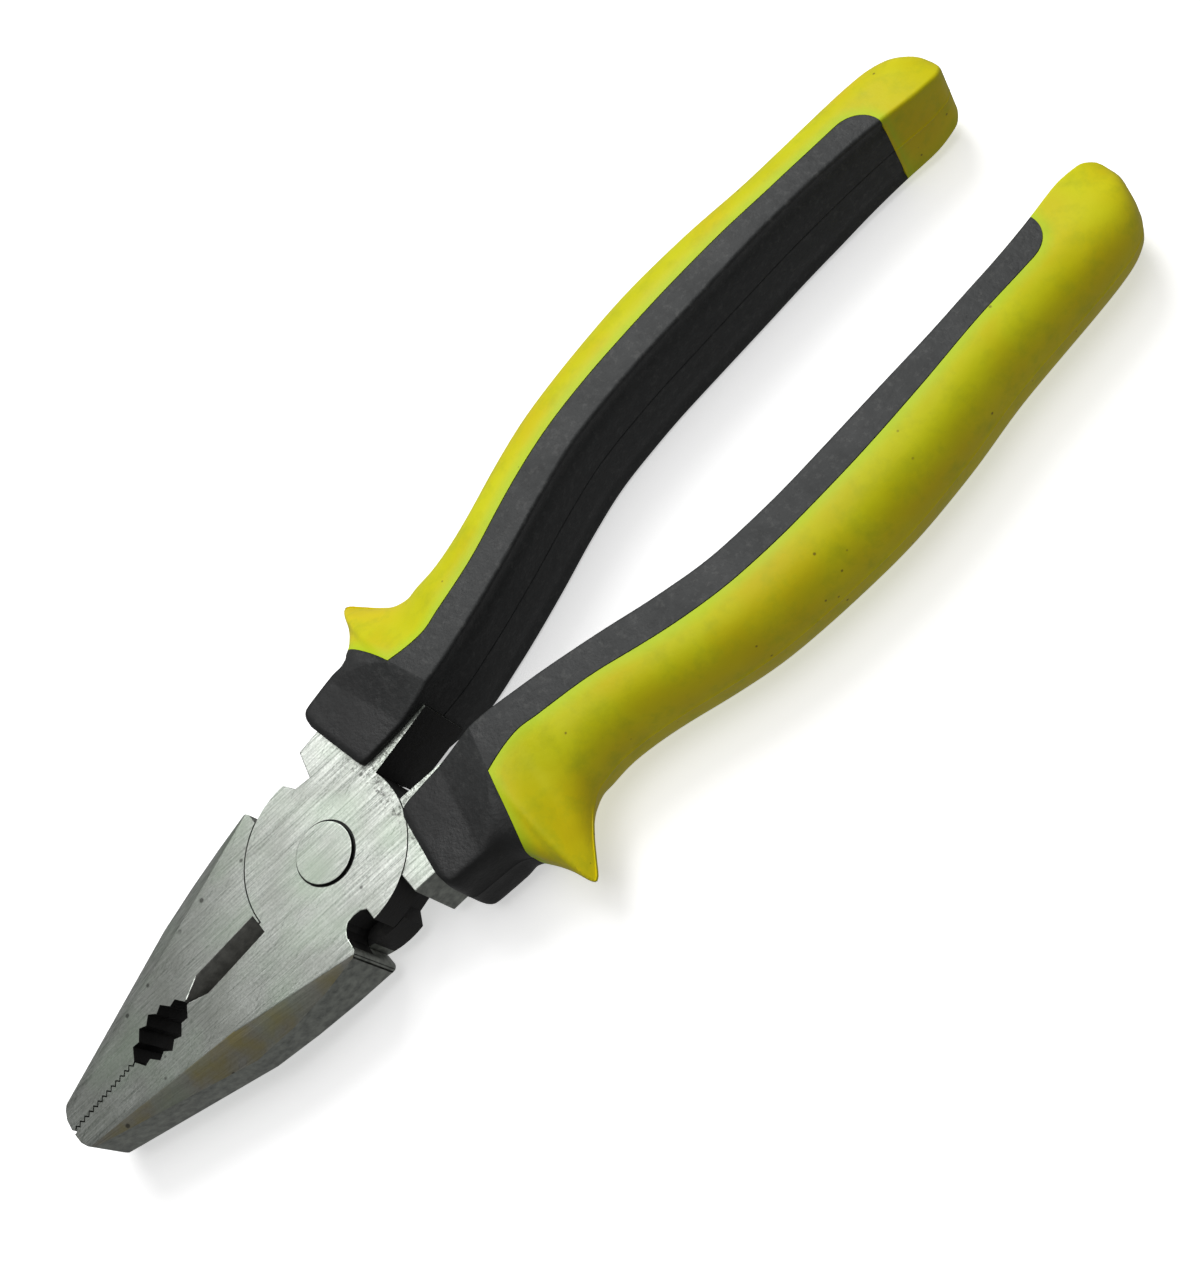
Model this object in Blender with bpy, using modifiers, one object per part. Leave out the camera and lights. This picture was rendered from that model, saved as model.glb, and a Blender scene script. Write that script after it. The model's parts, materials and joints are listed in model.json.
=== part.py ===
"""Combination pliers, 200 mm long: two forged halves, one rivet, four grip mouldings.

Metres, +Z up.  The tool lies flat on its grips with the jaws closed.  +Y points to the
jaw tips.  The rivet axis is vertical.  Plan outlines are written for the front half,
whose jaw is on the -X side and whose handle is on the +X side, with the rivet axis at
x = 0, y = 0 and the middle of the thickness at z = 0.  The rear half is the same piece
turned half a turn about the Y axis.
"""

import math

import bmesh
import bpy
from mathutils import Vector

MM = 0.001

# Overall sizes
TIP_REACH = 55.0 * MM            # rivet axis to jaw tips
HANDLE_REACH = 143.5 * MM        # rivet axis to handle ends
GRIP_HALF_HEIGHT = 9.0 * MM      # half the thickness of the moulded grips
HEAD_HALF_THICK = 5.75 * MM      # half the thickness of the steel head
GAP = 0.3 * MM                   # air between pieces that touch

# Lap joint and rivet
DISC_RADIUS = 13.5 * MM
RIVET_RADIUS = 4.65 * MM
RIVET_PROUD = 0.3 * MM
RIVET_CHAMFER = 0.25 * MM
RIVET_CLEARANCE = 0.05 * MM
ROUND_SEGMENTS = 96

# Jaws
JAW_SHOULDER = (15.2 * MM, 5.2 * MM)
PIPE_GRIP_CENTRE = 35.3 * MM
PIPE_GRIP_DEPTH = 3.7 * MM
PIPE_GRIP_WAVE = 7.2 * MM
COARSE_PITCH = 2.35 * MM
COARSE_DEPTH = 0.95 * MM
COARSE_TEETH = 5
FINE_START = 41.6 * MM
FINE_PITCH = 1.0 * MM
FINE_DEPTH = 0.3 * MM
FINE_TEETH = 13
CUTTER_START = 13.9 * MM
CUTTER_END = 26.0 * MM
CUTTER_POINT = 29.6 * MM
CUTTER_HALF_WIDTH = 1.7 * MM
BEVEL_ANGLE = math.radians(35.0)
TAPER_START = 26.0 * MM
TAPER_DROP = 1.6 * MM

# Handles
ROOT_END = -25.0 * MM
TANG_END = -118.0 * MM
TANG_COVER = 1.8 * MM
SHELL_THICK = 2.2 * MM
BAND_END = -130.9 * MM
BAND_ROUND = 4.4 * MM
CURVE_STEPS = 8

PIVOT_Y = (HANDLE_REACH - TIP_REACH) / 2.0
PIVOT = Vector((0.0, PIVOT_Y, GRIP_HALF_HEIGHT))


# ---------------------------------------------------------------- scene and helpers

def clear_scene():
    for obj in list(bpy.data.objects):
        bpy.data.objects.remove(obj, do_unlink=True)


def make_collection(name):
    collection = bpy.data.collections.new(name)
    bpy.context.scene.collection.children.link(collection)
    return collection


def make_material(name, colour, roughness, metallic):
    material = bpy.data.materials.new(name)
    material.use_nodes = True
    shader = material.node_tree.nodes["Principled BSDF"]
    shader.inputs["Base Color"].default_value = (*colour, 1.0)
    shader.inputs["Roughness"].default_value = roughness
    shader.inputs["Metallic"].default_value = metallic
    return material


def add_object(name, mesh, collection):
    obj = bpy.data.objects.new(name, mesh)
    collection.objects.link(obj)
    return obj


def arc(radius, start_deg, end_deg, steps):
    """Points on a circle about the rivet axis, both ends included."""
    points = []
    for i in range(steps + 1):
        angle = math.radians(start_deg + (end_deg - start_deg) * i / steps)
        points.append((radius * math.cos(angle), radius * math.sin(angle)))
    return points


def angle_of(point):
    return math.degrees(math.atan2(point[1], point[0]))


def plate(name, outline, low, high, collection):
    """A flat closed outline with straight sides between two heights."""
    curve = bpy.data.curves.new(name + "_curve", "CURVE")
    curve.dimensions = "2D"
    curve.fill_mode = "BOTH"
    curve.extrude = (high - low) / 2.0
    spline = curve.splines.new("POLY")
    spline.points.add(len(outline) - 1)
    for point, (x, y) in zip(spline.points, outline):
        point.co = (x, y, 0.0, 1.0)
    spline.use_cyclic_u = True
    holder = add_object(name + "_outline", curve, collection)
    graph = bpy.context.evaluated_depsgraph_get()
    mesh = bpy.data.meshes.new_from_object(holder.evaluated_get(graph))
    bpy.data.objects.remove(holder, do_unlink=True)
    bm = bmesh.new()
    bm.from_mesh(mesh)
    bmesh.ops.remove_doubles(bm, verts=bm.verts, dist=1e-6)
    bmesh.ops.recalc_face_normals(bm, faces=bm.faces)
    bmesh.ops.translate(bm, verts=bm.verts, vec=(0.0, 0.0, (high + low) / 2.0))
    bm.to_mesh(mesh)
    bm.free()
    return add_object(name, mesh, collection)


def loft(name, rings, collection):
    """A closed skin through rings that all have the same number of points."""
    bm = bmesh.new()
    rows = [[bm.verts.new(point) for point in ring] for ring in rings]
    count = len(rings[0])
    for first, second in zip(rows, rows[1:]):
        for i in range(count):
            j = (i + 1) % count
            bm.faces.new((first[i], first[j], second[j], second[i]))
    bm.faces.new(rows[0][::-1])
    bm.faces.new(rows[-1])
    bmesh.ops.remove_doubles(bm, verts=bm.verts, dist=1e-6)
    bmesh.ops.dissolve_degenerate(bm, edges=bm.edges, dist=1e-6)
    bmesh.ops.recalc_face_normals(bm, faces=bm.faces)
    mesh = bpy.data.meshes.new(name)
    bm.to_mesh(mesh)
    bm.free()
    return add_object(name, mesh, collection)


def boolean(target, tool, operation):
    modifier = target.modifiers.new(tool.name, "BOOLEAN")
    modifier.solver = "EXACT"
    modifier.operation = operation
    modifier.object = tool
    tool.hide_render = True
    tool.display_type = "WIRE"


def smooth_sides(obj, degrees):
    obj.data.shade_smooth()
    obj.data.set_sharp_from_angle(angle=math.radians(degrees))


# ---------------------------------------------------------------- steel halves

def fine_teeth(bite):
    """The zigzag of the flat nose; the two jaws take opposite signs and interlock."""
    points = []
    for i in range(2 * FINE_TEETH + 1):
        side = bite * (FINE_DEPTH if i % 2 else -FINE_DEPTH)
        points.append((-GAP / 2.0 + side, FINE_START + i * FINE_PITCH / 2.0))
    return points


def pipe_grip_line(offset):
    return PIPE_GRIP_DEPTH * math.cos(math.pi / 2.0 * offset / PIPE_GRIP_WAVE)


def pipe_grip_teeth():
    """Valleys and crests of one side of the pipe grip, from the rivet to the nose."""
    points = []
    half_count = COARSE_TEETH // 2
    for k in range(-half_count, half_count + 1):
        offset = k * COARSE_PITCH
        points.append((-pipe_grip_line(offset), PIPE_GRIP_CENTRE + offset))
        if k < half_count:
            crest = offset + COARSE_PITCH / 2.0
            points.append((COARSE_DEPTH - pipe_grip_line(crest), PIPE_GRIP_CENTRE + crest))
    return points


def jaw_inner_edge(bite):
    """Parting edge of the left jaw, from the disc to the tip."""
    teeth = pipe_grip_teeth()
    half_gap = GAP / 2.0
    neck = (-half_gap, teeth[0][1] - 0.5 * COARSE_PITCH)
    bridge = (-half_gap, teeth[-1][1] + 0.45 * COARSE_PITCH)
    return [neck] + teeth + [bridge] + fine_teeth(bite)


def jaw_outer_edge():
    """Outside of the left jaw, from the tip to the shoulder."""
    shoulder_x, shoulder_y = JAW_SHOULDER
    tip = TIP_REACH
    return [
        (-0.4 * MM, tip),
        (-2.2 * MM, tip - 0.15 * MM),
        (-3.5 * MM, tip - 0.75 * MM),
        (-4.7 * MM, tip - 2.4 * MM),
        (-13.6 * MM, 27.0 * MM),
        (-14.7 * MM, 19.5 * MM),
        (-shoulder_x, 12.5 * MM),
        (-shoulder_x, shoulder_y),
    ]


def root_outer_edge(grow=0.0):
    """Outer side of the handle root, from the shear tab down into the grip."""
    return [
        (15.4 * MM + grow, -6.5 * MM),
        (15.8 * MM + grow, -12.5 * MM),
        (14.8 * MM + grow, ROOT_END - grow),
    ]


def root_inner_edge(grow=0.0):
    """Inner side of the handle root, from inside the grip up to the disc."""
    return [
        (4.6 * MM - grow, ROOT_END - grow),
        (4.1 * MM - grow, -21.5 * MM),
        (3.1 * MM - grow, -13.7 * MM),
    ]


def front_layer_outline(bite):
    """The half's own layer of the lap joint: jaw, disc and handle root in one."""
    parting_angle = angle_of((-GAP / 2.0, DISC_RADIUS))
    root_angle = angle_of((3.1 * MM, -DISC_RADIUS))
    shear_tooth = 178.0
    outline = arc(DISC_RADIUS, parting_angle, -6.5, 26)
    outline += [(11.5 * MM, -2.6 * MM), (11.0 * MM, -5.3 * MM)]
    outline += root_outer_edge() + root_inner_edge()
    outline += arc(DISC_RADIUS, root_angle, shear_tooth - 360.0, 28)
    outline += [(-11.6 * MM, 0.4 * MM), (-11.0 * MM, 1.2 * MM)]
    outline += [(-10.8 * MM, 3.6 * MM), (-11.4 * MM, 4.3 * MM), (-12.8 * MM, 4.7 * MM)]
    outline += jaw_outer_edge()[::-1]
    outline += jaw_inner_edge(bite)[::-1]
    return outline


def rear_layer_jaw(bite):
    """The jaw in the other half's layer stops at that half's disc."""
    radius = DISC_RADIUS + GAP
    shoulder_y = JAW_SHOULDER[1]
    start = 180.0 - math.degrees(math.asin(shoulder_y / radius))
    outline = arc(radius, start, angle_of((-GAP / 2.0, radius)), 14)
    return outline + jaw_inner_edge(bite) + jaw_outer_edge()


def rear_layer_root():
    """The handle root in the other half's layer stops at that half's disc."""
    radius = DISC_RADIUS + GAP
    tab_y = -6.5 * MM
    start = angle_of((3.1 * MM, -math.sqrt(radius**2 - (3.1 * MM) ** 2)))
    end = -math.degrees(math.asin(-tab_y / radius))
    return arc(radius, start, end, 10) + root_outer_edge() + root_inner_edge()[:-1]


def cutter_groove(name, side, collection):
    """The V between the cutting edges, open on one face; side is +1 or -1 in z."""
    top = side * (HEAD_HALF_THICK + 1.0 * MM)
    spread = 1.0 + 1.0 * MM / HEAD_HALF_THICK
    edge = -GAP / 2.0
    wide = edge - (CUTTER_HALF_WIDTH + edge) * spread
    narrow = edge - 0.25 * MM
    clear = 4.0 * MM
    stations = [(CUTTER_START, wide), (CUTTER_END, wide), (CUTTER_POINT, narrow)]
    rings = []
    for y, x in stations:
        rings.append([(x, y, top), (clear, y, top), (clear, y, 0.0), (edge, y, 0.0)])
    return loft(name, rings, collection)


def jaw_bevel(name, side, collection):
    """A flat bevel along the outer edge of the jaw, starting at nothing at the shoulder."""
    start = Vector((-15.1 * MM, 5.2 * MM, side * HEAD_HALF_THICK))
    end = Vector((-2.0 * MM, 52.5 * MM, side * HEAD_HALF_THICK))
    along = (end - start).normalized()
    outward = Vector((-along.y, along.x, 0.0))
    if outward.x > 0.0:
        outward = -outward
    up = Vector((0.0, 0.0, side))
    reach = 14.0 * MM
    run = 12.0 * MM
    rings = []
    for corner in (start - along * run, end + along * run):
        foot = corner + outward * reach - up * reach * math.tan(BEVEL_ANGLE)
        rings.append([corner, foot, foot + up * 20.0 * MM, corner + up * 8.0 * MM])
    return loft(name, rings, collection)


def nose_taper(name, side, collection):
    """A thin wedge off the face, so that the jaws get thinner towards the tip."""
    rings = []
    reach = TIP_REACH - TAPER_START
    surface = side * HEAD_HALF_THICK
    for x in (-25.0 * MM, 5.0 * MM):
        end = (x, TAPER_START + 1.5 * reach, surface - side * 1.5 * TAPER_DROP)
        above = (x, TAPER_START + 1.5 * reach, surface + side * 3.0 * MM)
        rings.append([(x, TAPER_START, surface), end, above])
    return loft(name, rings, collection)


def rivet_bore(name, collection):
    bm = bmesh.new()
    radius = RIVET_RADIUS + RIVET_CLEARANCE
    bmesh.ops.create_cone(bm, cap_ends=True, segments=ROUND_SEGMENTS, radius1=radius,
                          radius2=radius, depth=6.0 * HEAD_HALF_THICK)
    mesh = bpy.data.meshes.new(name)
    bm.to_mesh(mesh)
    bm.free()
    return add_object(name, mesh, collection)


def tang(name, grow, collection):
    """The part of the handle inside the grip; grow makes the socket for it."""
    rings = []
    start = ROOT_END + 4.0 * MM
    end = TANG_END - grow
    steps = 16
    for i in range(steps + 1):
        y = start + (end - start) * i / steps
        share = i / steps
        inner = grip_inner(y) + TANG_COVER - grow
        outer = inner + (7.6 - 2.6 * share) * MM + 2.0 * grow
        half = (4.6 - 1.2 * share) * MM + grow
        corners = [(inner, -half), (outer, -half), (outer, half), (inner, half)]
        rings.append([sheared(x, y, z) for x, z in corners])
    return loft(name, rings, collection)


def steel_half(name, bite, parts, cutters):
    layer = GAP / 2.0
    lap = 1.5 * MM
    half = plate(name, front_layer_outline(bite), layer, HEAD_HALF_THICK, parts)
    jaw = plate(name + "_rear_jaw", rear_layer_jaw(bite), -HEAD_HALF_THICK, layer + lap, cutters)
    root = plate(name + "_rear_root", rear_layer_root(), -HEAD_HALF_THICK, layer + lap, cutters)
    boolean(half, jaw, "UNION")
    boolean(half, root, "UNION")
    boolean(half, tang(name + "_tang", 0.0, cutters), "UNION")
    boolean(half, rivet_bore(name + "_bore", cutters), "DIFFERENCE")
    for side, word in ((1.0, "upper"), (-1.0, "lower")):
        boolean(half, cutter_groove(f"{name}_{word}_groove", side, cutters), "DIFFERENCE")
        boolean(half, nose_taper(f"{name}_{word}_taper", side, cutters), "DIFFERENCE")
        boolean(half, jaw_bevel(f"{name}_{word}_bevel", side, cutters), "DIFFERENCE")
    return half


def rivet(name, collection):
    """A turned pin with both ends just proud of the head."""
    end = HEAD_HALF_THICK + RIVET_PROUD
    radius = RIVET_RADIUS
    profile = [(0.0, end), (radius - RIVET_CHAMFER, end), (radius, end - RIVET_CHAMFER),
               (radius, RIVET_CHAMFER - end), (radius - RIVET_CHAMFER, -end), (0.0, -end)]
    bm = bmesh.new()
    verts = [bm.verts.new((r, 0.0, z)) for r, z in profile]
    for first, second in zip(verts, verts[1:]):
        bm.edges.new((first, second))
    mesh = bpy.data.meshes.new(name)
    bm.to_mesh(mesh)
    bm.free()
    obj = add_object(name, mesh, collection)
    screw = obj.modifiers.new("turn", "SCREW")
    screw.axis = "Z"
    screw.steps = ROUND_SEGMENTS
    screw.render_steps = ROUND_SEGMENTS
    screw.use_merge_vertices = True
    screw.merge_threshold = 0.00001
    return obj


# ---------------------------------------------------------------- grip shape

def smooth_value(keys, y):
    """A smooth curve through (station, value) pairs, with stations running towards -Y."""
    if y >= keys[0][0]:
        return keys[0][1]
    if y <= keys[-1][0]:
        return keys[-1][1]
    steps = [(b[1] - a[1]) / (b[0] - a[0]) for a, b in zip(keys, keys[1:])]
    slopes = [steps[0]]
    for before, after in zip(steps, steps[1:]):
        level = before * after <= 0.0
        slopes.append(0.0 if level else 2.0 * before * after / (before + after))
    slopes.append(steps[-1])
    for i in range(len(keys) - 1):
        y0, v0 = keys[i]
        y1, v1 = keys[i + 1]
        if y1 <= y <= y0:
            span = y1 - y0
            t = (y - y0) / span
            start = (2 * t**3 - 3 * t**2 + 1) * v0 + (t**3 - 2 * t**2 + t) * span * slopes[i]
            return start + (3 * t**2 - 2 * t**3) * v1 + (t**3 - t**2) * span * slopes[i + 1]
    return keys[-1][1]


# Stations along the handle and the grip's plan at each, in millimetres.
INNER_KEYS = [(-11.6, 5.9), (-12.0, 5.2), (-13.4, 4.9), (-19.0, 4.8), (-27.0, 5.2), (-36.0, 6.8),
              (-50.0, 10.2), (-60.5, 13.2), (-70.5, 15.4), (-84.0, 16.2), (-106.0, 16.2),
              (-122.0, 15.5), (-131.0, 14.6), (-137.5, 13.6), (-141.0, 13.7), (-143.2, 14.8),
              (-144.2, 17.0)]
GUARD_KEYS = [(-11.6, 17.4), (-12.1, 19.0), (-13.4, 19.8), (-17.0, 20.3), (-22.0, 21.0),
              (-25.3, 22.8), (-27.0, 24.8), (-29.4, 28.2), (-31.2, 31.2), (-31.7, 31.8)]
OUTER_KEYS = [(-31.7, 31.8), (-32.2, 31.4), (-33.0, 29.6), (-34.2, 26.8), (-36.0, 23.9),
              (-38.0, 22.3), (-42.0, 21.8), (-50.0, 23.0), (-61.5, 26.6), (-68.5, 28.6),
              (-77.0, 29.8), (-88.0, 30.4), (-100.0, 29.6), (-114.0, 27.7), (-128.0, 27.1),
              (-136.0, 26.5), (-140.5, 25.2), (-143.0, 22.8), (-144.2, 19.8)]
FACE_KEYS = [(-11.6, 14.5), (-13.4, 17.2), (-21.0, 17.6), (-24.5, 15.5), (-26.6, 12.7),
             (-32.8, 11.6), (-36.7, 12.3), (-46.2, 14.2), (-54.7, 16.8), (-61.5, 18.8),
             (-70.0, 20.6), (-78.0, 21.3), (-90.0, 21.5), (-103.0, 21.1), (-115.0, 20.2),
             (-126.5, 19.7), (-140.0, 18.9), (-144.2, 18.1)]
SLOPE_KEYS = [(-11.6, 6.6), (-12.6, 7.0), (-19.3, 7.1), (-20.3, 7.25), (-26.6, 9.0)]
HEIGHT_KEYS = [(-26.6, 9.0), (-100.0, 9.0), (-115.0, 8.7), (-123.0, 8.2), (-131.0, 7.7),
               (-137.0, 7.2), (-141.2, 6.4), (-143.4, 5.3), (-144.2, 4.0)]
ROUND_KEYS = [(-11.6, 5.0), (-19.0, 4.6), (-23.0, 2.5), (-26.6, 1.6), (-31.7, 1.3),
              (-35.0, 1.6), (-40.0, 2.2), (-60.0, 2.3), (-144.2, 2.3)]
SHEAR_KEYS = [(-12.0, 0.17), (-27.0, 0.30), (-50.0, 0.29), (-64.0, 0.18), (-78.0, 0.0),
              (-130.0, 0.0), (-144.2, 0.1)]
SHEAR_CENTRE = 10.0 * MM
GUARD_Y = -26.6 * MM             # the ridge where the guard's front slope starts
HORN_Y = -31.7 * MM              # the station of the guard's point
SEAM_BULGE = 2.0 * MM            # the seam's swing towards the head, half way up
SEAM_REACH = 13.0 * MM           # how far from the ridge the swing is felt
CREST_AHEAD = 6.0 * MM           # how far the crest is felt ahead of the ridge
CREST_BEHIND = 16.0 * MM         # and behind it


def station_value(keys, y):
    return smooth_value(keys, y / MM) * MM


def grip_inner(y):
    return station_value(INNER_KEYS, y)


def grip_outer(y):
    """Half-way-up outline of the outer side; the guard comes to a point."""
    return station_value(GUARD_KEYS if y > HORN_Y else OUTER_KEYS, y)


def grip_height(y):
    """Half the thickness; the guard's front slope meets the face in a ridge."""
    return station_value(SLOPE_KEYS if y > GUARD_Y else HEIGHT_KEYS, y)


def face_edge(y):
    """Where the flat face of the grip ends and the rounded outer side begins."""
    return station_value(FACE_KEYS, y)


def sheared(x, y, z):
    """A point of the station y; stations lean so that they cross the handle squarely."""
    lean = smooth_value(SHEAR_KEYS, y / MM)
    return (x, y + lean * (x - SHEAR_CENTRE), z)


def band_edge(y):
    """Where the dark face band meets the coloured shell; it closes in a round end."""
    edge = face_edge(y)
    round_start = BAND_END + BAND_ROUND
    if y < round_start:
        share = min((round_start - y) / BAND_ROUND, 1.0)
        last = grip_inner(y) + 2.0 * GAP
        edge = last + (edge - last) * math.sqrt(1.0 - share**2)
    return edge


def near_guard(y, ahead, behind):
    """One at the guard's ridge, falling smoothly to nothing ahead of it and behind it."""
    reach = ahead if y > GUARD_Y else behind
    share = max(0.0, 1.0 - abs(y - GUARD_Y) / reach)
    return share * share * (3.0 - 2.0 * share)


def outer_quarter(station, depth, steps):
    """Points from the face edge round to half way up, a depth inside the surface.

    A crest runs from the face edge at the guard's ridge to the point of the guard, so the
    outline is taken further along where a point lies nearer to the face.
    """
    points = []
    for i in range(steps + 1):
        share = i / steps
        angle = math.pi / 2.0 * share
        bulge = SEAM_BULGE * near_guard(station, SEAM_REACH, SEAM_REACH)
        y = station + bulge * math.sin(angle) ** 2
        lag = (GUARD_Y - HORN_Y) * near_guard(y, CREST_AHEAD, CREST_BEHIND)
        power = 2.0 / smooth_value(ROUND_KEYS, y / MM)
        start = face_edge(y)
        width = grip_outer(y - lag * (1.0 - share)) - depth - start
        height = grip_height(y) - depth
        points.append((start + width * math.sin(angle) ** power, y,
                       height * max(math.cos(angle), 0.0) ** power))
    points[-1] = (points[-1][0], points[-1][1], 0.0)
    return points


def mirror_down(points):
    """Points for the upper half followed by their mirror images for the lower half."""
    return points + [(x, y, -z) for x, y, z in points[-2::-1]]


def sleeve_ring(y, covered):
    """One station of the dark sleeve; covered stations make room for the shell."""
    height = grip_height(y)
    start = band_edge(y) - GAP
    face = [(grip_inner(y), y, height), (start, y, height)]
    if covered:
        room = 1.5 * GAP * near_guard(y, CREST_AHEAD, CREST_BEHIND)
        depth = SHELL_THICK + GAP + room
        curve = [(start, y, height - depth)] + outer_quarter(y, depth, CURVE_STEPS)
    else:
        middle = (start + face_edge(y)) / 2.0
        curve = [(middle, y, height)] + outer_quarter(y, 0.0, CURVE_STEPS)
    return [sheared(x, y, z) for x, y, z in mirror_down(face + curve)]


def shell_ring(y, closed):
    """One station of the coloured shell; closed stations fill the end of the handle."""
    height = grip_height(y)
    edge = band_edge(y)
    outside = mirror_down([(edge, y, height)] + outer_quarter(y, 0.0, CURVE_STEPS))
    if closed:
        inner = grip_inner(y)
        count = len(outside) - 1
        inside = [(inner, y, -height * math.cos(math.pi * i / count)) for i in range(count + 1)]
    else:
        face = [(edge, y, height - SHELL_THICK)]
        inside = mirror_down(face + outer_quarter(y, SHELL_THICK, CURVE_STEPS))[::-1]
    return [sheared(x, y, z) for x, y, z in outside + inside]


def round_end_stations():
    """Stations that follow the round end of the face band."""
    start = BAND_END + BAND_ROUND
    return [start - BAND_ROUND * math.sin(math.radians(a)) for a in (0.0, 24.0, 44.0, 62.0, 77.0)]


def even_stations(start, end, count):
    return [start + (end - start) * i / count for i in range(count + 1)]


def horn_stations():
    return [y * MM for y in (-28.0, -29.4, -30.6, -31.7, -32.6, -33.8, -35.2, -37.0)]


def sleeve(name, parts, cutters):
    front = [y * MM for y in (-11.6, -12.1, -13.4, -16.5, -19.3, -20.3, -22.5, -24.6)]
    front += [GUARD_Y]
    middle = even_stations(-39.0 * MM, BAND_END + BAND_ROUND + 4.0 * MM, 16)
    rings = [sleeve_ring(y, False) for y in front] + [sleeve_ring(GUARD_Y, True)]
    rings += [sleeve_ring(y, True) for y in horn_stations() + middle + round_end_stations()]
    rings += [sleeve_ring(BAND_END + GAP, True)]
    obj = loft(name, rings, parts)
    root = plate(name + "_root_socket", socket_outline(), -HEAD_HALF_THICK - GAP,
                 HEAD_HALF_THICK + GAP, cutters)
    boolean(obj, root, "DIFFERENCE")
    boolean(obj, tang(name + "_tang_socket", GAP, cutters), "DIFFERENCE")
    smooth_sides(obj, 35.0)
    return obj


def socket_outline():
    """Plan of the pocket round the handle root, open towards the head."""
    front = -5.0 * MM
    outer = root_outer_edge(GAP)
    inner = root_inner_edge(GAP)
    return [(outer[0][0], front)] + outer[1:] + inner + [(inner[-1][0], front)]


def shell(name, parts):
    start = GUARD_Y - GAP
    middle = even_stations(-39.0 * MM, BAND_END + BAND_ROUND + 4.0 * MM, 16)
    open_part = [start] + horn_stations() + middle + round_end_stations() + [BAND_END]
    rings = [shell_ring(y, False) for y in open_part] + [shell_ring(BAND_END, True)]
    tail = [y * MM for y in (-134.5, -138.0, -140.8, -142.6, -143.6, -144.2)]
    rings += [shell_ring(y, True) for y in tail]
    obj = loft(name, rings, parts)
    smooth_sides(obj, 35.0)
    return obj


# ---------------------------------------------------------------- assembly

def place(obj, frame, material):
    obj.parent = frame
    obj.data.materials.clear()
    obj.data.materials.append(material)


def make_frame(name, turned, collection):
    """An empty on the rivet axis; the rear half hangs on one turned about Y."""
    frame = bpy.data.objects.new(name, None)
    collection.objects.link(frame)
    frame.location = PIVOT
    if turned:
        frame.rotation_euler = (0.0, math.pi, 0.0)
    return frame


def build():
    clear_scene()
    parts = make_collection("combination_pliers")
    cutters = make_collection("cutters")
    steel = make_material("ground_steel", (0.62, 0.63, 0.60), 0.35, 1.0)
    rivet_steel = make_material("rivet_steel", (0.60, 0.61, 0.59), 0.32, 1.0)
    dark = make_material("charcoal_rubber", (0.035, 0.037, 0.040), 0.6, 0.0)
    bright = make_material("yellow_rubber", (0.62, 0.60, 0.03), 0.45, 0.0)
    for prefix, turned, bite in (("front", False, 1.0), ("rear", True, -1.0)):
        frame = make_frame(prefix + "_frame", turned, parts)
        half = steel_half(prefix + "_half", bite, parts, cutters)
        place(half, frame, steel)
        place(sleeve(prefix + "_grip_sleeve", parts, cutters), frame, dark)
        place(shell(prefix + "_grip_shell", parts), frame, bright)
        for cutter in cutters.objects:
            if cutter.parent is None:
                cutter.parent = frame
    pin_frame = make_frame("rivet_frame", False, parts)
    place(rivet("pivot_rivet", parts), pin_frame, rivet_steel)


build()
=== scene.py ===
"""Looks of the combination pliers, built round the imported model.

Metres, +Z up.  Plan outlines are written for the front half in the frame of the rivet
axis, as the model has them: its jaw is on the -X side and its handle on the +X side.
The rear half is the same shape turned half a turn about Y.
"""

import json
import math

import bmesh
import bpy
from mathutils import Matrix, Vector


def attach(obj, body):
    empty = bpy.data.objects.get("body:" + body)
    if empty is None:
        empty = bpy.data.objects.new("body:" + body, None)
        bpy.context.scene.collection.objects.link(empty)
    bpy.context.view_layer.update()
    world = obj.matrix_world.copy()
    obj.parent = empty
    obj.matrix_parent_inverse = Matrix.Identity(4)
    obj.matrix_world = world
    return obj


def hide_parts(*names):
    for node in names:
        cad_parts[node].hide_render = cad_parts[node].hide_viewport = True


MM = 0.001

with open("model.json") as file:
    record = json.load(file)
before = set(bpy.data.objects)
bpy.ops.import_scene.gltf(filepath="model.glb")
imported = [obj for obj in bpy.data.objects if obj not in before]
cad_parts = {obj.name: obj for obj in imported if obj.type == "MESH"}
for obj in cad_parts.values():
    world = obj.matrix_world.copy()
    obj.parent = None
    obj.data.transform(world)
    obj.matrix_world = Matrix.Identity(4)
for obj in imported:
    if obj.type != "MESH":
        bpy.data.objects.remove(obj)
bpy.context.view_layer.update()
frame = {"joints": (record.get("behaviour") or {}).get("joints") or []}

# ---------------------------------------------------------------- sizes of the model
TIP_REACH = 55.0 * MM
GRIP_HALF_HEIGHT = 9.0 * MM
HEAD_HALF_THICK = 5.75 * MM
GAP = 0.3 * MM
DISC_RADIUS = 13.5 * MM
LAP = 1.5 * MM                   # how far the lower layer reaches into the upper one
RIVET_RADIUS = 4.65 * MM
RIVET_PROUD = 0.3 * MM
JAW_SHOULDER = (15.2 * MM, 5.2 * MM)
JAW_CORNER = 1.1 * MM
PIPE_GRIP_CENTRE = 35.3 * MM
PIPE_GRIP_DEPTH = 3.7 * MM
PIPE_GRIP_WAVE = 7.2 * MM
COARSE_PITCH = 2.35 * MM
COARSE_DEPTH = 0.95 * MM
COARSE_TEETH = 5
FINE_START = 41.6 * MM
FINE_PITCH = 1.0 * MM
FINE_DEPTH = 0.3 * MM
FINE_TEETH = 13
CUTTER_START = 13.9 * MM
CUTTER_END = 26.0 * MM
CUTTER_POINT = 29.6 * MM
CUTTER_HALF_WIDTH = 1.7 * MM
BEVEL_ANGLE = math.radians(35.0)
BEVEL_START = (-15.1 * MM, 5.2 * MM)
BEVEL_END = (-2.0 * MM, 52.5 * MM)
TAPER_START = 26.0 * MM
TAPER_DROP = 1.6 * MM
ROOT_SHOULDER_Y = -6.5 * MM
ROOT_END = -25.0 * MM
CROTCH_X = 3.1 * MM
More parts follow.
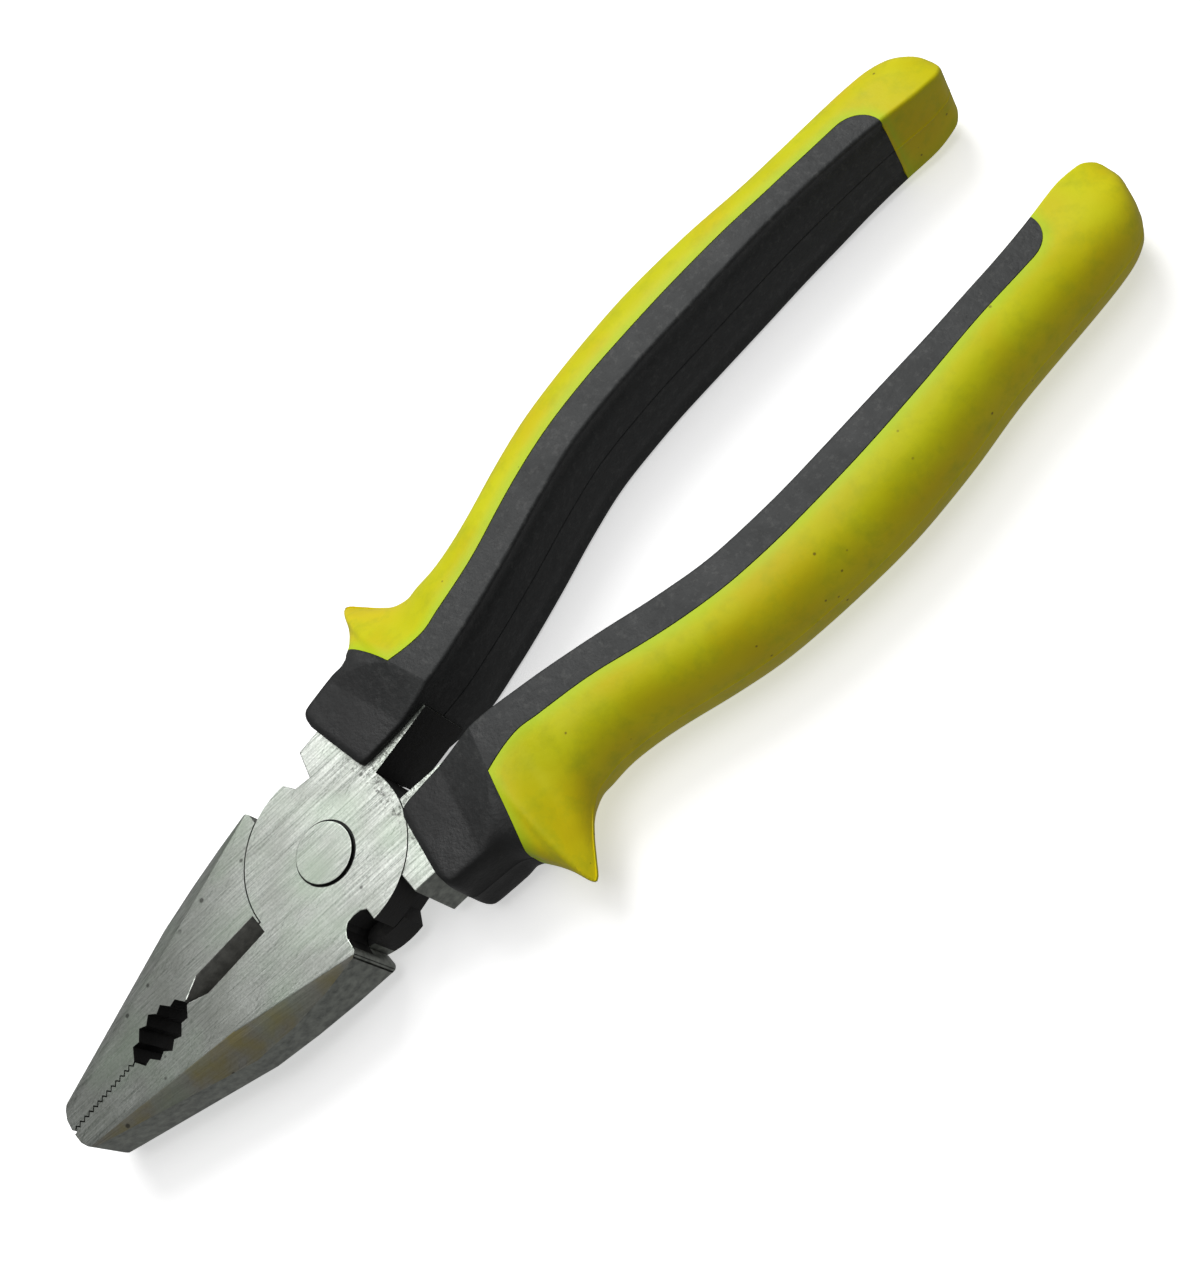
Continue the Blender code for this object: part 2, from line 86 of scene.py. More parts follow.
TANG_END = -118.0 * MM
TANG_COVER = 1.8 * MM
TANG_STATIONS = 16
TANG_WIDTH = (7.6, 2.6)          # millimetres at the root, and how much is lost to the end
TANG_HALF_THICK = (4.6, 1.2)     # the same
SHELL_THICK = 2.2 * MM
GUARD_Y = -26.6 * MM
BAND_END = -130.9 * MM
BAND_ROUND = 4.4 * MM

# ---------------------------------------------------------------- finish details
WELD = 1e-6                      # points nearer than this are one
SEAM = 0.06 * MM                 # air between pieces that touch
LAP_SEAM = 0.2 * MM              # air round the lap joint
EDGE_BREAK = 0.16 * MM           # worn edge of the ground steel
RECESS_RADIUS = 4.98 * MM        # the hollow worn round the rivet
RECESS_PLACE = (-0.16 * MM, -0.13 * MM)
RECESS_DEPTH = 0.3 * MM
ROUND_SEGMENTS = 128
QUARTER = [math.radians(22.5 * i) for i in range(5)]

PIVOT = Vector(frame["joints"][0]["pos_m"])


# ---------------------------------------------------------------- mesh helpers

def add_object(name, mesh):
    obj = bpy.data.objects.new(name, mesh)
    bpy.context.scene.collection.objects.link(obj)
    return obj


def mesh_from(bm, name):
    mesh = bpy.data.meshes.new(name)
    bm.to_mesh(mesh)
    bm.free()
    return mesh


def evaluated_mesh(obj):
    graph = bpy.context.evaluated_depsgraph_get()
    return bpy.data.meshes.new_from_object(obj.evaluated_get(graph))


def discard(objects):
    for obj in objects:
        bpy.data.objects.remove(obj, do_unlink=True)


def arc(radius, start_deg, end_deg, steps, centre=(0.0, 0.0)):
    points = []
    for i in range(steps + 1):
        angle = math.radians(start_deg + (end_deg - start_deg) * i / steps)
        points.append((centre[0] + radius * math.cos(angle), centre[1] + radius * math.sin(angle)))
    return points


def angle_of(point):
    return math.degrees(math.atan2(point[1], point[0]))


def plate(name, outline, low, high):
    """A flat closed outline with straight sides between two heights."""
    curve = bpy.data.curves.new(name + "_curve", "CURVE")
    curve.dimensions = "2D"
    curve.fill_mode = "BOTH"
    curve.extrude = (high - low) / 2.0
    spline = curve.splines.new("POLY")
    spline.points.add(len(outline) - 1)
    for point, (x, y) in zip(spline.points, outline):
        point.co = (x, y, 0.0, 1.0)
    spline.use_cyclic_u = True
    holder = add_object(name + "_outline", curve)
    mesh = evaluated_mesh(holder)
    discard([holder])
    bm = bmesh.new()
    bm.from_mesh(mesh)
    bmesh.ops.remove_doubles(bm, verts=bm.verts, dist=WELD)
    bmesh.ops.recalc_face_normals(bm, faces=bm.faces)
    bmesh.ops.translate(bm, verts=bm.verts, vec=(0.0, 0.0, (high + low) / 2.0))
    return add_object(name, mesh_from(bm, name))


def loft(name, rings):
    """A closed skin through rings that all have the same number of points."""
    bm = bmesh.new()
    rows = [[bm.verts.new(point) for point in ring] for ring in rings]
    count = len(rings[0])
    for first, second in zip(rows, rows[1:]):
        for i in range(count):
            j = (i + 1) % count
            bm.faces.new((first[i], first[j], second[j], second[i]))
    bm.faces.new(rows[0][::-1])
    bm.faces.new(rows[-1])
    bmesh.ops.remove_doubles(bm, verts=bm.verts, dist=WELD)
    bmesh.ops.dissolve_degenerate(bm, edges=bm.edges, dist=WELD)
    bmesh.ops.recalc_face_normals(bm, faces=bm.faces)
    return add_object(name, mesh_from(bm, name))


def cylinder(name, radius, depth, place=(0.0, 0.0, 0.0)):
    bm = bmesh.new()
    bmesh.ops.create_cone(bm, cap_ends=True, segments=ROUND_SEGMENTS, radius1=radius,
                          radius2=radius, depth=depth)
    bmesh.ops.translate(bm, verts=bm.verts, vec=place)
    return add_object(name, mesh_from(bm, name))


def cut(target, steps):
    """Boolean steps on a target, applied; the tools are then removed."""
    for tool, operation in steps:
        modifier = target.modifiers.new(tool.name, "BOOLEAN")
        modifier.solver = "EXACT"
        modifier.operation = operation
        modifier.object = tool
    mesh = evaluated_mesh(target)
    target.modifiers.clear()
    target.data = mesh
    discard([tool for tool, _ in steps])
    return target


def shade(obj, degrees):
    obj.data.shade_smooth()
    obj.data.set_sharp_from_angle(angle=math.radians(degrees))


# ---------------------------------------------------------------- steel halves

def fine_teeth(bite):
    points = []
    for i in range(2 * FINE_TEETH + 1):
        side = bite * (FINE_DEPTH if i % 2 else -FINE_DEPTH)
        points.append((-GAP / 2.0 + side, FINE_START + i * FINE_PITCH / 2.0))
    return points


def pipe_grip_line(offset):
    return PIPE_GRIP_DEPTH * math.cos(math.pi / 2.0 * offset / PIPE_GRIP_WAVE)


def pipe_grip_teeth():
    points = []
    half_count = COARSE_TEETH // 2
    for k in range(-half_count, half_count + 1):
        offset = k * COARSE_PITCH
        points.append((-pipe_grip_line(offset), PIPE_GRIP_CENTRE + offset))
        if k < half_count:
            crest = offset + COARSE_PITCH / 2.0
            points.append((COARSE_DEPTH - pipe_grip_line(crest), PIPE_GRIP_CENTRE + crest))
    return points


def jaw_inner_edge(bite):
    teeth = pipe_grip_teeth()
    half_gap = GAP / 2.0
    neck = (-half_gap, teeth[0][1] - 0.5 * COARSE_PITCH)
    bridge = (-half_gap, teeth[-1][1] + 0.45 * COARSE_PITCH)
    return [neck] + teeth + [bridge] + fine_teeth(bite)


def jaw_outer_edge():
    """Outside of the left jaw, from the tip to the rounded shoulder."""
    shoulder_x, shoulder_y = JAW_SHOULDER
    tip = TIP_REACH
    centre = (-shoulder_x + JAW_CORNER, shoulder_y + JAW_CORNER)
    return [
        (-0.4 * MM, tip),
        (-2.2 * MM, tip - 0.15 * MM),
        (-3.5 * MM, tip - 0.75 * MM),
        (-4.3 * MM, tip - 1.5 * MM),
        (-4.7 * MM, tip - 2.4 * MM),
        (-13.6 * MM, 27.0 * MM),
        (-14.7 * MM, 19.5 * MM),
        (-shoulder_x, 12.5 * MM),
    ] + arc(JAW_CORNER, 180.0, 270.0, 6, centre)


def root_outer_edge(grow=0.0):
    return [
        (15.4 * MM + grow, ROOT_SHOULDER_Y),
        (15.8 * MM + grow, -12.5 * MM),
        (14.8 * MM + grow, ROOT_END - grow),
    ]


def root_inner_edge(grow=0.0):
    return [
        (4.6 * MM - grow, ROOT_END - grow),
        (4.1 * MM - grow, -21.5 * MM),
        (CROTCH_X - grow, -13.7 * MM),
    ]


def front_layer_outline(bite):
    """Plan of the upper layer: half disc, handle root and jaw, with the shear notches."""
    parting_angle = angle_of((-GAP / 2.0, DISC_RADIUS))
    root_angle = angle_of((CROTCH_X, -DISC_RADIUS))
    handle_notch = -6.5
    shear_tooth = 178.0 - 360.0
    outline = arc(DISC_RADIUS, parting_angle, handle_notch, 52)
    outline += [(11.5 * MM, -2.6 * MM), (11.0 * MM, -5.3 * MM)]
    outline += root_outer_edge() + root_inner_edge()
    outline += arc(DISC_RADIUS, root_angle, shear_tooth, 56)
    outline += [
        (-11.6 * MM, 0.4 * MM),
        (-11.0 * MM, 1.2 * MM),
        (-10.75 * MM, 2.4 * MM),
        (-10.8 * MM, 3.6 * MM),
        (-11.4 * MM, 4.4 * MM),
        (-12.4 * MM, 5.0 * MM),
    ]
    outline += jaw_outer_edge()[::-1]
    outline += jaw_inner_edge(bite)[::-1]
    return outline


def rear_layer_jaw(bite):
    radius = DISC_RADIUS + LAP_SEAM
    shoulder_y = JAW_SHOULDER[1]
    start = 180.0 - math.degrees(math.asin(shoulder_y / radius))
    outline = arc(radius, start, angle_of((-GAP / 2.0, radius)), 32)
    return outline + jaw_inner_edge(bite) + jaw_outer_edge()


def rear_layer_root():
    radius = DISC_RADIUS + LAP_SEAM
    start = angle_of((CROTCH_X, -math.sqrt(radius**2 - CROTCH_X**2)))
    end = -math.degrees(math.asin(-ROOT_SHOULDER_Y / radius))
    return arc(radius, start, end, 24) + root_outer_edge() + root_inner_edge()[:-1]


def cutter_groove(name, side):
    """The wedge taken out beside the cutting edge, on one face."""
    above = 1.0 * MM
    top = side * (HEAD_HALF_THICK + above)
    spread = 1.0 + above / HEAD_HALF_THICK
    edge = -GAP / 2.0
    wide = edge - (CUTTER_HALF_WIDTH + edge) * spread
    narrow = edge - 0.25 * MM
    clear = 4.0 * MM
    stations = [(CUTTER_START, wide), (CUTTER_END, wide), (CUTTER_POINT, narrow)]
    rings = []
    for y, x in stations:
        rings.append([(x, y, top), (clear, y, top), (clear, y, 0.0), (edge, y, 0.0)])
    return loft(name, rings)


def jaw_bevel(name, side):
    """The sloping flank taken off along the outside of the jaw."""
    start = Vector(BEVEL_START + (side * HEAD_HALF_THICK,))
    end = Vector(BEVEL_END + (side * HEAD_HALF_THICK,))
    along = (end - start).normalized()
    outward = Vector((-along.y, along.x, 0.0))
    if outward.x > 0.0:
        outward = -outward
    up = Vector((0.0, 0.0, side))
    reach = 14.0 * MM
    run = 12.0 * MM
    outer_rise = 20.0 * MM
    inner_rise = 8.0 * MM
    rings = []
    for corner in (start - along * run, end + along * run):
        foot = corner + outward * reach - up * reach * math.tan(BEVEL_ANGLE)
        rings.append([corner, foot, foot + up * outer_rise, corner + up * inner_rise])
    return loft(name, rings)


def nose_taper(name, side):
    """The thinning of the nose, carried on half as far again past the tip."""
    past_tip = 1.5
    end_y = TAPER_START + past_tip * (TIP_REACH - TAPER_START)
    surface = side * HEAD_HALF_THICK
    clear = 3.0 * MM
    rings = []
    for x in (-25.0 * MM, 5.0 * MM):
        end = (x, end_y, surface - side * past_tip * TAPER_DROP)
        above = (x, end_y, surface + side * clear)
        rings.append([(x, TAPER_START, surface), end, above])
    return loft(name, rings)


def tang(name, grow):
    """The bar inside the grip, which follows the grip's inner side."""
    rings = []
    start = ROOT_END + 4.0 * MM
    end = TANG_END - grow
    for i in range(TANG_STATIONS + 1):
        y = start + (end - start) * i / TANG_STATIONS
        share = i / TANG_STATIONS
        inner = grip_inner(y) + TANG_COVER - grow
        outer = inner + (TANG_WIDTH[0] - TANG_WIDTH[1] * share) * MM + 2.0 * grow
        half = (TANG_HALF_THICK[0] - TANG_HALF_THICK[1] * share) * MM + grow
        corners = [(inner, -half), (outer, -half), (outer, half), (inner, half)]
        rings.append([sheared(x, y, z) for x, z in corners])
    return loft(name, rings)


def is_worn(edge):
    """Whether an edge is rounded: long, outside the teeth, the grips and the lap joint."""
    x, y, z = (edge.verts[0].co + edge.verts[1].co) / 2.0
    in_teeth = 28.0 * MM < y < TIP_REACH - 1.0 * MM and abs(x) < 4.6 * MM
    in_grip = y < -14.5 * MM
    in_lap = abs(z) < 1.0 * MM
    on_lap_arc = abs(math.hypot(x, y) - DISC_RADIUS) < 0.6 * MM
    short = edge.calc_length() < 0.3 * MM
    return not (in_teeth or in_grip or in_lap or on_lap_arc or short)


def break_edges(obj):
    """Rounds the long edges round the faces of the head; teeth and cutting edges stay."""
    same_place = 0.004 * MM
    same_plane = math.radians(0.4)
    sharp = math.radians(25.0)
    bm = bmesh.new()
    bm.from_mesh(obj.data)
    bmesh.ops.remove_doubles(bm, verts=bm.verts, dist=same_place)
    bmesh.ops.dissolve_limit(bm, angle_limit=same_plane, verts=bm.verts, edges=bm.edges)
    chosen = []
    for edge in bm.edges:
        if len(edge.link_faces) != 2 or not edge.is_convex:
            continue
        first, second = (face.normal for face in edge.link_faces)
        if first.angle(second) >= sharp and is_worn(edge):
            chosen.append(edge)
    bmesh.ops.bevel(bm, geom=chosen, offset=EDGE_BREAK, offset_type="OFFSET", segments=2,
                    profile=0.5, affect="EDGES", clamp_overlap=False)
    bmesh.ops.recalc_face_normals(bm, faces=bm.faces)
    obj.data = mesh_from(bm, obj.name)


# Material slots of a steel half, and of the rivet.
# Faces in the notch slot get near-black steel, which paints the shade of hollows, the crotch, the
# lap and the rivet's hollow.
ON_FACE, ON_BEVEL, ON_SIDE, IN_PAINTED_SHADE, IN_GROOVE = range(5)
RIVET_END, RIVET_SIDE = range(2)


def steel_finish(polygon):
    """Which of the steel finishes a face of the half has; the hollows, the crotch, the rim under the
    disc and the lap get near-black painted shade.
    """
    x, y, z = polygon.center
    radius = math.hypot(x, y)
    slope = abs(polygon.normal.z)
    level = slope > 0.9
    in_pipe_grip = 28.4 * MM < y < 42.0 * MM and abs(x) < 4.3 * MM
    in_groove = 13.0 * MM < y < 30.5 * MM and abs(x) < 2.3 * MM
    in_shear_notch = -1.5 * MM < y < 5.3 * MM and -13.3 * MM < x < -8.0 * MM
    on_rim = -10.0 * MM < y < 4.0 * MM and radius < 14.4 * MM and slope < 0.5
    in_crotch = y < -8.0 * MM and x < 8.0 * MM
    in_recess = radius < 5.3 * MM and z < HEAD_HALF_THICK - 0.1 * MM
    in_lap = abs(z) < 3.0 * MM
    # Near-black steel here is painted shade: the rivet's hollow, the notches, the grip hole, the
    # crotch, the rim under the disc and the lap.
    if in_recess:
        return IN_PAINTED_SHADE
    if level and not in_lap:
        return ON_FACE
    if in_groove and slope < 0.9:
        return IN_GROOVE
    if in_pipe_grip or in_shear_notch or in_crotch or on_rim or (in_lap and level):
        return IN_PAINTED_SHADE
    if slope > 0.5:
        return ON_BEVEL if z > 0.0 else ON_FACE
    return ON_SIDE


def rivet_finish(polygon):
    # The rivet's side wall gets the near-black steel: painted shade round the rivet.
    return RIVET_END if abs(polygon.normal.z) > 0.6 else RIVET_SIDE


def one_finish(polygon):
    return 0


def steel_half(name, bite):
    """One forged half; bite tells which of the two sets of fine teeth it has."""
    layer = LAP_SEAM / 2.0
    half = plate(name, front_layer_outline(bite), layer, HEAD_HALF_THICK)
    low, high = -HEAD_HALF_THICK, layer + LAP
    bore = cylinder(name + "_bore", RIVET_RADIUS + SEAM, 6.0 * HEAD_HALF_THICK)
    recess = cylinder(name + "_recess", RECESS_RADIUS, 2.0 * RECESS_DEPTH,
                      RECESS_PLACE + (HEAD_HALF_THICK,))
    steps = [
        (plate(name + "_rear_jaw", rear_layer_jaw(bite), low, high), "UNION"),
        (plate(name + "_rear_root", rear_layer_root(), low, high), "UNION"),
        (tang(name + "_tang", 0.0), "UNION"),
        (bore, "DIFFERENCE"),
        (recess, "DIFFERENCE"),
    ]
    for side in (1.0, -1.0):
        steps.append((cutter_groove(f"{name}_groove{side}", side), "DIFFERENCE"))
        steps.append((nose_taper(f"{name}_taper{side}", side), "DIFFERENCE"))
        steps.append((jaw_bevel(f"{name}_bevel{side}", side), "DIFFERENCE"))
    cut(half, steps)
    break_edges(half)
    return half


def rivet(name):
    """A turned pin, ground off level, with a small rounded edge at both ends."""
    end = HEAD_HALF_THICK + RIVET_PROUD
    radius = RIVET_RADIUS
    corner = 0.1 * MM
    quarter = [(radius - corner + corner * math.sin(a), end - corner + corner * math.cos(a))
               for a in QUARTER]
    profile = [(0.0, end), (radius - 3.0 * corner, end), (radius - 1.4 * corner, end)] + quarter
    profile += [(r, -z) for r, z in reversed(profile)]
    bm = bmesh.new()
    verts = [bm.verts.new((r, 0.0, z)) for r, z in profile]
    edges = [bm.edges.new(pair) for pair in zip(verts, verts[1:])]
    bmesh.ops.spin(bm, geom=verts + edges, cent=(0, 0, 0), axis=(0, 0, 1),
                   angle=2.0 * math.pi, steps=ROUND_SEGMENTS, use_merge=True)
    bmesh.ops.remove_doubles(bm, verts=bm.verts, dist=WELD)
    bmesh.ops.dissolve_degenerate(bm, edges=bm.edges, dist=0.1 * WELD)
    bmesh.ops.recalc_face_normals(bm, faces=bm.faces)
    return add_object(name, mesh_from(bm, name))


# ---------------------------------------------------------------- grip shape

def smooth_value(keys, y):
    """A smooth curve through (station, value) pairs, with stations running towards -Y."""
    if y >= keys[0][0]:
        return keys[0][1]
    if y <= keys[-1][0]:
        return keys[-1][1]
    steps = [(b[1] - a[1]) / (b[0] - a[0]) for a, b in zip(keys, keys[1:])]
    slopes = [steps[0]]
    for before, after in zip(steps, steps[1:]):
        level = before * after <= 0.0
        slopes.append(0.0 if level else 2.0 * before * after / (before + after))
    slopes.append(steps[-1])
    i = next(i for i in range(len(steps)) if keys[i + 1][0] <= y)
    y0, v0 = keys[i]
    y1, v1 = keys[i + 1]
    span = y1 - y0
    t = (y - y0) / span
    start = (2 * t**3 - 3 * t**2 + 1) * v0 + (t**3 - 2 * t**2 + t) * span * slopes[i]
    return start + (3 * t**2 - 2 * t**3) * v1 + (t**3 - t**2) * span * slopes[i + 1]


# Stations along the handle and the grip's plan at each, in millimetres.
INNER_KEYS = [(-11.6, 5.9), (-12.0, 5.2), (-13.4, 4.9), (-19.0, 4.8), (-27.0, 5.2), (-36.0, 6.8),
              (-50.0, 10.2), (-60.5, 13.2), (-70.5, 15.4), (-84.0, 16.2), (-106.0, 16.2),
              (-122.0, 15.5), (-131.0, 14.6), (-137.5, 13.6), (-141.0, 13.7), (-143.2, 14.8),
              (-144.2, 17.0)]
GUARD_KEYS = [(-11.6, 17.4), (-12.1, 19.0), (-13.4, 19.8), (-17.0, 20.3), (-22.0, 21.0),
              (-25.3, 22.8), (-27.0, 24.8), (-29.4, 28.2), (-31.2, 31.2), (-31.7, 31.8)]
OUTER_KEYS = [(-31.7, 31.8), (-32.2, 31.4), (-33.0, 29.6), (-34.2, 26.8), (-36.0, 23.9),
              (-38.0, 22.3), (-42.0, 21.8), (-50.0, 23.0), (-61.5, 26.6), (-68.5, 28.6),
              (-77.0, 29.8), (-88.0, 30.4), (-100.0, 29.6), (-114.0, 27.7), (-128.0, 27.1),
              (-136.0, 26.5), (-140.5, 25.2), (-143.0, 22.8), (-144.2, 19.8)]
FACE_KEYS = [(-11.6, 14.5), (-13.4, 17.2), (-21.0, 17.6), (-24.5, 15.5), (-26.6, 12.7),
             (-32.8, 11.6), (-36.7, 12.3), (-46.2, 14.2), (-54.7, 16.8), (-61.5, 18.8),
             (-70.0, 20.6), (-78.0, 21.3), (-90.0, 21.5), (-103.0, 21.1), (-115.0, 20.2),
             (-126.5, 19.7), (-140.0, 18.9), (-144.2, 18.1)]
SLOPE_KEYS = [(-11.6, 6.6), (-12.6, 7.0), (-19.3, 7.1), (-20.3, 7.25), (-26.6, 9.0)]
HEIGHT_KEYS = [(-26.6, 9.0), (-100.0, 9.0), (-115.0, 8.7), (-123.0, 8.2), (-131.0, 7.7),
               (-137.0, 7.2), (-141.2, 6.4), (-143.4, 5.3), (-144.2, 4.0)]
ROUND_KEYS = [(-11.6, 5.0), (-19.0, 4.6), (-23.0, 2.5), (-26.6, 1.6), (-31.7, 1.3),
              (-35.0, 1.6), (-40.0, 2.2), (-60.0, 2.3), (-144.2, 2.3)]
SHEAR_KEYS = [(-12.0, 0.17), (-27.0, 0.30), (-50.0, 0.29), (-64.0, 0.18), (-78.0, 0.0),
              (-130.0, 0.0), (-144.2, 0.1)]
SHEAR_CENTRE = 10.0 * MM
EASED = (-39.0, -141.5)          # where the plan is eased along the handle, in millimetres
EASE_REACH = 3.5
HORN_Y = -31.7 * MM              # the station of the guard's point
SEAM_BULGE = 2.0 * MM            # the seam's swing towards the head, half way up
SEAM_REACH = 13.0 * MM           # how far from the ridge the swing is felt
CREST_AHEAD = 6.0 * MM           # how far the crest is felt ahead of the ridge
CREST_BEHIND = 16.0 * MM         # and behind it
FACET_DEPTH = 0.55 * MM          # how far the guard's front facet lies below its crest
FACET_START = 1.5 * MM           # the facet's depth grows over this distance from the crest,
FACET_HOLD = 2.0 * MM            # and from here on
FACET_FADE = 7.0 * MM            # fades over this one
PARTING = 0.10 * MM              # height of the moulding's parting line
PARTING_FOOT = 0.3 * MM          # half its width at the foot
PARTING_NECK = 0.13 * MM         # and just under its top
GROOVE_DEPTH = 0.14 * MM         # the parting groove along the sleeve's inner wall
GROOVE_HALF = 0.16 * MM
WALL_CORNER = 0.55 * MM          # rounding between the inner wall and the face
WALL_SHARES = (0.08, 0.2, 0.35, 0.5, 0.62, 0.72, 0.8, 0.88, 0.95)
LIP = 0.35 * MM                  # the shallow channel along the sleeve's inner wall,
LIP_PLACE = 0.8                  # its place up the wall
LIP_WIDTH = 0.13                 # and its width, as shares of the wall
LIP_START = -26.0 * MM
LIP_RISE = 12.0 * MM
CURVE_STEPS = 22                 # points round the outer side
INSIDE_STEPS = 16                # points round the hidden inside of the shell
GUARD_END = -39.0 * MM           # behind this station the rings stand further apart
SLEEVE_FRONT = (-11.6, -11.65, -11.8, -12.0, -12.3, -12.7, -13.2)
SHELL_TAIL = (-140.2, -140.9, -141.5, -142.0, -142.5, -142.9, -143.3, -143.6, -143.8, -144.0,
              -144.12, -144.2)
RIM_REACH = 1.9 * MM             # how wide the greener rim of the shell is


def station_value(keys, y):
    """The value at a station, eased over a few millimetres along the plain handle."""
    station = y / MM
    reach = min(EASE_REACH, 0.5 * (EASED[0] - station), 0.5 * (station - EASED[1]))
    if reach <= 0.0:
        return smooth_value(keys, station) * MM
    shares = [-1.0, -0.67, -0.33, 0.0, 0.33, 0.67, 1.0]
    weights = [1.0 - 0.75 * abs(s) for s in shares]
    total = sum(w * smooth_value(keys, station + s * reach) for s, w in zip(shares, weights))
    return total / sum(weights) * MM


def grip_inner(y):
    return station_value(INNER_KEYS, y)


def grip_outer(y):
    """Half-way-up outline of the outer side; the guard comes to a point."""
    return station_value(GUARD_KEYS if y > HORN_Y else OUTER_KEYS, y)


def grip_height(y):
    """Half the thickness; the guard's front slope meets the face in a ridge."""
    return smooth_value(SLOPE_KEYS if y > GUARD_Y else HEIGHT_KEYS, y / MM) * MM


def face_edge(y):
    return station_value(FACE_KEYS, y)


def sheared(x, y, z):
    lean = smooth_value(SHEAR_KEYS, y / MM)
    return (x, y + lean * (x - SHEAR_CENTRE), z)


def band_edge(y):
    edge = face_edge(y)
    round_start = BAND_END + BAND_ROUND
    if y < round_start:
        share = min((round_start - y) / BAND_ROUND, 1.0)
        last = grip_inner(y) + 2.0 * GAP
        edge = last + (edge - last) * math.sqrt(1.0 - share**2)
    return edge


def ease(share):
    share = min(1.0, max(0.0, share))
    return share * share * (3.0 - 2.0 * share)


def near_guard(y, ahead, behind):
    """One at the guard's ridge, falling smoothly to nothing ahead of it and behind it."""
    reach = ahead if y > GUARD_Y else behind
    return ease(1.0 - abs(y - GUARD_Y) / reach)


def swung(station, share):
    """The station of a point part of the way down the outer side, 1 being half way up."""
    swing = SEAM_BULGE * near_guard(station, SEAM_REACH, SEAM_REACH)
    return station + swing * math.sin(math.pi / 2.0 * share) ** 2


def front_hollow(y, share):
    """How far the guard's front facet lies below the crest that runs to its point."""
    ahead = y - HORN_Y - (GUARD_Y - HORN_Y) * (1.0 - share)
    depth = FACET_DEPTH * ease(ahead / FACET_START) * (1.0 - ease((ahead - FACET_HOLD) / FACET_FADE))
    return depth * math.sin(math.pi * share)


def outer_quarter(station, depth, steps, room=0.0):
    """Points from the face edge round the outer side, not quite down to half way up."""
    points = []
    for i in range(steps):
        share = i / steps
        angle = math.pi / 2.0 * share
        y = swung(station, share)
        lag = (GUARD_Y - HORN_Y) * near_guard(y, CREST_AHEAD, CREST_BEHIND)
        power = 2.0 / smooth_value(ROUND_KEYS, y / MM)
        start = face_edge(y) - room
        width = grip_outer(y - lag * (1.0 - share)) - depth - start
        height = grip_height(y) - depth
        hollow = front_hollow(y, share)
        points.append((start + width * math.sin(angle) ** power - hollow * math.sin(angle), y,
                       height * math.cos(angle) ** power - hollow * math.cos(angle)))
    return points


def parting_bead(station, depth, bead):
    """The thin line left by the moulding tool, half way up a side."""
    y = swung(station, 1.0)
    x = grip_outer(y) - depth
    return [(x, y, PARTING_FOOT), (x + 0.6 * bead, y, PARTING_NECK), (x + bead, y, 0.0)]


def mirror_down(points):
    """A closed section from its upper half, whose two ends are half way up."""
    return points + [(x, y, -z) for x, y, z in points[-2:0:-1]]


def inner_wall(y, lip):
    """Upper half of the inner wall and the rounded corner to the face, from the middle up."""
    inner = grip_inner(y)
    height = grip_height(y)
    corner = min(WALL_CORNER, 0.2 * height)
    top = height - corner
    points = []
    for share in WALL_SHARES:
        hollow = math.exp(-((share - LIP_PLACE) / LIP_WIDTH) ** 2)
        points.append((inner + lip * hollow, y, top * share))
    for angle in QUARTER:
        x = inner + corner * (1.0 - math.cos(angle))
        points.append((x, y, top + corner * math.sin(angle)))
    return points


def across(first, last, y, shares):
    """Points on the face between two edges of the section."""
    return [(first + (last - first) * share, y, grip_height(y)) for share in shares]


def sleeve_ring(y, covered):
    """One station of the dark sleeve; covered stations make room for the shell."""
    inner = grip_inner(y)
    start = band_edge(y) - SEAM
    lip = LIP * min(1.0, max(0.0, (LIP_START - y) / LIP_RISE))
    if covered:
        depth = SHELL_THICK + SEAM
        curve = [(start, y, grip_height(y) - depth)]
        curve += outer_quarter(y, depth, CURVE_STEPS, SEAM) + parting_bead(y, depth, 0.0)
    else:
        curve = [((start + face_edge(y)) / 2.0, y, grip_height(y))]
        curve += outer_quarter(y, 0.0, CURVE_STEPS) + parting_bead(y, 0.0, PARTING)
    wall = [(inner + GROOVE_DEPTH, y, 0.0), (inner, y, GROOVE_HALF)] + inner_wall(y, lip)
    face = across(wall[-1][0], start, y, (0.33, 0.67, 0.98))
    return [sheared(*point) for point in mirror_down(wall + face + curve)]


def shell_ring(y, closed):
    """One station of the coloured shell; closed stations fill the end of the handle."""
    inner = grip_inner(y)
    edge = band_edge(y)
    height = grip_height(y)
    outside = [(edge, y, height), ((edge + face_edge(y)) / 2.0, y, height)]
    outside += outer_quarter(y, 0.0, CURVE_STEPS) + parting_bead(y, 0.0, PARTING)
    if closed:
        wall = [(inner - PARTING, y, 0.0), (inner, y, GROOVE_HALF)] + inner_wall(y, 0.0)
        inside = wall + across(wall[-1][0], edge, y, (0.35, 0.7))
    else:
        middle = parting_bead(y, SHELL_THICK, 0.0)[-1]
        inside = [middle] + outer_quarter(y, SHELL_THICK, INSIDE_STEPS)[::-1]
        inside += [(edge, y, height - SHELL_THICK)]
    return [sheared(*point) for point in mirror_down(inside + outside)]


def stations(start, end, step):
    count = max(1, round(abs(end - start) / step))
    return [start + (end - start) * i / count for i in range(count + 1)]


def round_end_stations():
    """Stations that follow the round end of the face band."""
    start = BAND_END + BAND_ROUND
    return [start - BAND_ROUND * math.sin(math.radians(a)) for a in range(6, 90, 7)]


def covered_stations():
    horn = stations(GUARD_Y - SEAM, GUARD_END, 0.2 * MM)
    middle = stations(GUARD_END, BAND_END + BAND_ROUND, 1.4 * MM)
    return horn + middle[1:] + round_end_stations()


def socket_outline():
    """Plan of the pocket round the handle root, open towards the head."""
    front = -5.0 * MM
    outer = root_outer_edge(SEAM)
    inner = root_inner_edge(SEAM)
    return [(outer[0][0], front)] + outer[1:] + inner + [(inner[-1][0], front)]


